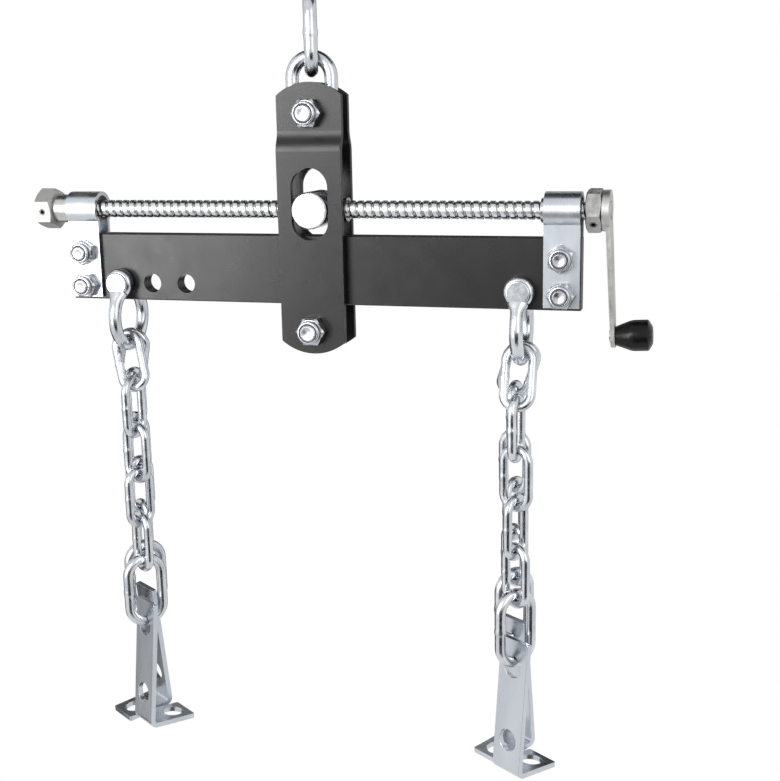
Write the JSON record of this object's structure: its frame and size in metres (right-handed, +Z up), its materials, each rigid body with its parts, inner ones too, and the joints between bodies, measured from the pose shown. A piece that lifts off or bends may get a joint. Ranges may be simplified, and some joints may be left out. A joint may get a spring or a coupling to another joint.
{
  "type": "engine load leveler",
  "caption": "Crane load leveler: a cranked screw shifts a flat bar under a plate hanger, with shackles, chains and L brackets for an engine at each end.",
  "frame": {"origin": "inner top of the upper link, where the crane hook bears", "axes": "+X along the bar towards the crank, +Y away from the side with the nuts, +Z up the load line"},
  "size_m": [0.4642, 0.0692, 0.5672],
  "materials": {
    "black_paint": "satin black powder coat",
    "bright_zinc": "bright zinc plate on welded wire",
    "zinc_sheet": "zinc plated sheet",
    "zinc_fastener": "zinc plated fasteners",
    "screw_steel": "zinc plated thread",
    "crank_metal": "worn nickel plate on rough steel",
    "bush_bronze": "turned bronze bush",
    "knob_plastic": "moulded black plastic"
  },
  "bodies": {
    "hook_link": {"upper_link": "bright_zinc"},
    "lifting": {"lifting_link": "bright_zinc"},
    "hanger": {"hanger_plate_front": "black_paint", "hanger_plate_rear": "black_paint", "hanger_top_bolt": "zinc_fastener", "hanger_top_nut": "zinc_fastener", "hanger_bottom_bolt": "zinc_fastener", "hanger_bottom_nut": "zinc_fastener"},
    "roller": {"support_roller": "screw_steel"},
    "trunnion": {"trunnion_nut": "screw_steel"},
    "beam": {"beam_bar": "black_paint", "strap_left": "zinc_sheet", "strap_right": "zinc_sheet", "strap_bolts": "zinc_fastener", "strap_nuts": "zinc_fastener", "screw_bushes": "bush_bronze"},
    "screw": {"screw_rod": "screw_steel", "left_end_nut": "crank_metal", "left_collar": "crank_metal", "thrust_washer": "screw_steel", "crank_hub_nut": "crank_metal", "roll_pins": "crank_metal", "crank_arm": "crank_metal", "knob_pin": "screw_steel"},
    "knob": {"crank_knob": "knob_plastic"},
    "left_shackle": {"shackle_left": "bright_zinc", "shackle_pin_left": "bright_zinc"},
    "left_front_link_1": {"chain_left_front_1": "bright_zinc"},
    "left_front_link_2": {"chain_left_front_2": "bright_zinc"},
    "left_front_link_3": {"chain_left_front_3": "bright_zinc"},
    "left_front_link_4": {"chain_left_front_4": "bright_zinc"},
    "left_front_link_5": {"chain_left_front_5": "bright_zinc"},
    "left_front_link_6": {"chain_left_front_6": "bright_zinc"},
    "left_front_bracket": {"bracket_left_front": "zinc_sheet"},
    "left_rear_link_1": {"chain_left_rear_1": "bright_zinc"},
    "left_rear_link_2": {"chain_left_rear_2": "bright_zinc"},
    "left_rear_link_3": {"chain_left_rear_3": "bright_zinc"},
    "left_rear_link_4": {"chain_left_rear_4": "bright_zinc"},
    "left_rear_link_5": {"chain_left_rear_5": "bright_zinc"},
    "left_rear_link_6": {"chain_left_rear_6": "bright_zinc"},
    "left_rear_bracket": {"bracket_left_rear": "zinc_sheet"},
    "right_shackle": {"shackle_right": "bright_zinc", "shackle_pin_right": "bright_zinc"},
    "right_front_link_1": {"chain_right_front_1": "bright_zinc"},
    "right_front_link_2": {"chain_right_front_2": "bright_zinc"},
    "right_front_link_3": {"chain_right_front_3": "bright_zinc"},
    "right_front_link_4": {"chain_right_front_4": "bright_zinc"},
    "right_front_link_5": {"chain_right_front_5": "bright_zinc"},
    "right_front_link_6": {"chain_right_front_6": "bright_zinc"},
    "right_front_bracket": {"bracket_right_front": "zinc_sheet"},
    "right_rear_link_1": {"chain_right_rear_1": "bright_zinc"},
    "right_rear_link_2": {"chain_right_rear_2": "bright_zinc"},
    "right_rear_link_3": {"chain_right_rear_3": "bright_zinc"},
    "right_rear_link_4": {"chain_right_rear_4": "bright_zinc"},
    "right_rear_link_5": {"chain_right_rear_5": "bright_zinc"},
    "right_rear_link_6": {"chain_right_rear_6": "bright_zinc"},
    "right_rear_bracket": {"bracket_right_rear": "zinc_sheet"}
  },
  "joints": [
    {"name": "lifting_swing", "type": "hinge", "parent": "hook_link", "child": "lifting", "pos_m": [0, 0, -0.03545], "axis": [1, 0, 0], "range_deg": [-25, 25]},
    {"name": "hanger_swing", "type": "hinge", "parent": "lifting", "child": "hanger", "pos_m": [0, 0, -0.0744], "axis": [0, 1, 0], "range_deg": [-30, 30]},
    {"name": "roller_spin", "type": "hinge", "parent": "hanger", "child": "roller", "pos_m": [0, 0, -0.22865], "axis": [0, 1, 0], "continuous": true},
    {"name": "bar_tilt", "type": "hinge", "parent": "hanger", "child": "trunnion", "pos_m": [0, 0, -0.14215], "axis": [0, 1, 0], "range_deg": [-15, 15]},
    {"name": "bar_slide", "type": "slide", "parent": "trunnion", "child": "beam", "axis": [1, 0, 0], "range_m": [-0.11, 0.11]},
    {"name": "crank_turn", "type": "hinge", "parent": "beam", "child": "screw", "pos_m": [0, 0, -0.14215], "axis": [1, 0, 0], "range_deg": [-6606, 6606]},
    {"name": "knob_spin", "type": "hinge", "parent": "screw", "child": "knob", "pos_m": [0.21614, 0, -0.22777], "axis": [0.9984, 0, 0.0558], "continuous": true},
    {"name": "left_shackle_swing", "type": "hinge", "parent": "beam", "child": "left_shackle", "pos_m": [-0.15525, 0, -0.1974], "axis": [0, 1, 0], "range_deg": [-45, 45]},
    {"name": "left_front_link_1_swing", "type": "hinge", "parent": "left_shackle", "child": "left_front_link_1", "pos_m": [-0.15525, -0.00593, -0.24509], "axis": [0, 0.963, -0.2695], "range_deg": [-45, 0]},
    {"name": "left_front_link_2_swing", "type": "hinge", "parent": "left_front_link_1", "child": "left_front_link_2", "pos_m": [-0.14775, -0.015, -0.27749], "axis": [1, 0, 0], "range_deg": [-45, 0]},
    {"name": "left_front_link_3_swing", "type": "hinge", "parent": "left_front_link_2", "child": "left_front_link_3", "pos_m": [-0.14775, -0.015, -0.31379], "axis": [0.1478, 0.989, 0], "range_deg": [-30, 0]},
    {"name": "left_front_link_4_swing", "type": "hinge", "parent": "left_front_link_3", "child": "left_front_link_4", "pos_m": [-0.14775, -0.015, -0.35009], "axis": [0.9563, -0.2924, 0], "range_deg": [-30, 0]},
    {"name": "left_front_link_5_swing", "type": "hinge", "parent": "left_front_link_4", "child": "left_front_link_5", "pos_m": [-0.14775, -0.015, -0.38639], "axis": [0.4305, 0.9026, 0], "range_deg": [-30, 0]},
    {"name": "left_front_link_6_swing", "type": "hinge", "parent": "left_front_link_5", "child": "left_front_link_6", "pos_m": [-0.14775, -0.015, -0.42269], "axis": [0.829, -0.5592, 0], "range_deg": [-30, 0]},
    {"name": "left_front_bracket_swing", "type": "hinge", "parent": "left_front_link_6", "child": "left_front_bracket", "pos_m": [-0.14775, -0.015, -0.46774], "axis": [0.6756, 0.7373, 0], "range_deg": [-30, 0]},
    {"name": "left_rear_link_1_swing", "type": "hinge", "parent": "left_shackle", "child": "left_rear_link_1", "pos_m": [-0.15525, 0.00593, -0.24509], "axis": [0, 0.963, 0.2695], "range_deg": [0, 45]},
    {"name": "left_rear_link_2_swing", "type": "hinge", "parent": "left_rear_link_1", "child": "left_rear_link_2", "pos_m": [-0.16275, 0.015, -0.27749], "axis": [1, 0, 0], "range_deg": [0, 45]},
    {"name": "left_rear_link_3_swing", "type": "hinge", "parent": "left_rear_link_2", "child": "left_rear_link_3", "pos_m": [-0.16275, 0.015, -0.31379], "axis": [0.1478, 0.989, 0], "range_deg": [0, 30]},
    {"name": "left_rear_link_4_swing", "type": "hinge", "parent": "left_rear_link_3", "child": "left_rear_link_4", "pos_m": [-0.16275, 0.015, -0.35009], "axis": [0.9563, -0.2924, 0], "range_deg": [0, 30]},
    {"name": "left_rear_link_5_swing", "type": "hinge", "parent": "left_rear_link_4", "child": "left_rear_link_5", "pos_m": [-0.16275, 0.015, -0.38639], "axis": [0.4305, 0.9026, 0], "range_deg": [0, 30]},
    {"name": "left_rear_link_6_swing", "type": "hinge", "parent": "left_rear_link_5", "child": "left_rear_link_6", "pos_m": [-0.16275, 0.015, -0.42269], "axis": [0.829, -0.5592, 0], "range_deg": [0, 30]},
    {"name": "left_rear_bracket_swing", "type": "hinge", "parent": "left_rear_link_6", "child": "left_rear_bracket", "pos_m": [-0.16275, 0.015, -0.46774], "axis": [0.6756, 0.7373, 0], "range_deg": [0, 30]},
    {"name": "right_shackle_swing", "type": "hinge", "parent": "beam", "child": "right_shackle", "pos_m": [0.15075, 0, -0.1974], "axis": [0, 1, 0], "range_deg": [-45, 45]},
    {"name": "right_front_link_1_swing", "type": "hinge", "parent": "right_shackle", "child": "right_front_link_1", "pos_m": [0.15075, -0.00736, -0.24463], "axis": [0, 0.9424, -0.3345], "range_deg": [-45, 0]},
    {"name": "right_front_link_2_swing", "type": "hinge", "parent": "right_front_link_1", "child": "right_front_link_2", "pos_m": [0.15075, -0.019, -0.27743], "axis": [1, 0, 0], "range_deg": [-45, 0]},
    {"name": "right_front_link_3_swing", "type": "hinge", "parent": "right_front_link_2", "child": "right_front_link_3", "pos_m": [0.15075, -0.019, -0.31373], "axis": [0.1478, 0.989, 0], "range_deg": [-30, 0]},
    {"name": "right_front_link_4_swing", "type": "hinge", "parent": "right_front_link_3", "child": "right_front_link_4", "pos_m": [0.15075, -0.019, -0.35003], "axis": [0.9563, -0.2924, 0], "range_deg": [-30, 0]},
    {"name": "right_front_link_5_swing", "type": "hinge", "parent": "right_front_link_4", "child": "right_front_link_5", "pos_m": [0.15075, -0.019, -0.38633], "axis": [0.4305, 0.9026, 0], "range_deg": [-30, 0]},
    {"name": "right_front_link_6_swing", "type": "hinge", "parent": "right_front_link_5", "child": "right_front_link_6", "pos_m": [0.15075, -0.019, -0.42263], "axis": [0.829, -0.5592, 0], "range_deg": [-30, 0]},
    {"name": "right_front_bracket_swing", "type": "hinge", "parent": "right_front_link_6", "child": "right_front_bracket", "pos_m": [0.15075, -0.019, -0.46768], "axis": [0.6756, 0.7373, 0], "range_deg": [-30, 0]},
    {"name": "right_rear_link_1_swing", "type": "hinge", "parent": "right_shackle", "child": "right_rear_link_1", "pos_m": [0.15075, 0.00753, -0.24457], "axis": [0, 0.9395, 0.3424], "range_deg": [0, 45]},
    {"name": "right_rear_link_2_swing", "type": "hinge", "parent": "right_rear_link_1", "child": "right_rear_link_2", "pos_m": [0.14275, 0.019, -0.27603], "axis": [1, 0, 0], "range_deg": [0, 45]},
    {"name": "right_rear_link_3_swing", "type": "hinge", "parent": "right_rear_link_2", "child": "right_rear_link_3", "pos_m": [0.14275, 0.019, -0.31233], "axis": [0.1478, 0.989, 0], "range_deg": [0, 30]},
    {"name": "right_rear_link_4_swing", "type": "hinge", "parent": "right_rear_link_3", "child": "right_rear_link_4", "pos_m": [0.14275, 0.019, -0.34863], "axis": [0.9563, -0.2924, 0], "range_deg": [0, 30]},
    {"name": "right_rear_link_5_swing", "type": "hinge", "parent": "right_rear_link_4", "child": "right_rear_link_5", "pos_m": [0.14275, 0.019, -0.38493], "axis": [0.4305, 0.9026, 0], "range_deg": [0, 30]},
    {"name": "right_rear_link_6_swing", "type": "hinge", "parent": "right_rear_link_5", "child": "right_rear_link_6", "pos_m": [0.14275, 0.019, -0.42123], "axis": [0.829, -0.5592, 0], "range_deg": [0, 30]},
    {"name": "right_rear_bracket_swing", "type": "hinge", "parent": "right_rear_link_6", "child": "right_rear_bracket", "pos_m": [0.14275, 0.019, -0.46628], "axis": [0.6756, 0.7373, 0], "range_deg": [0, 30]}
  ],
  "couplings": [
    {"joint": "crank_turn", "follows": "bar_slide", "rad_per_m": 1047.2}
  ]
}
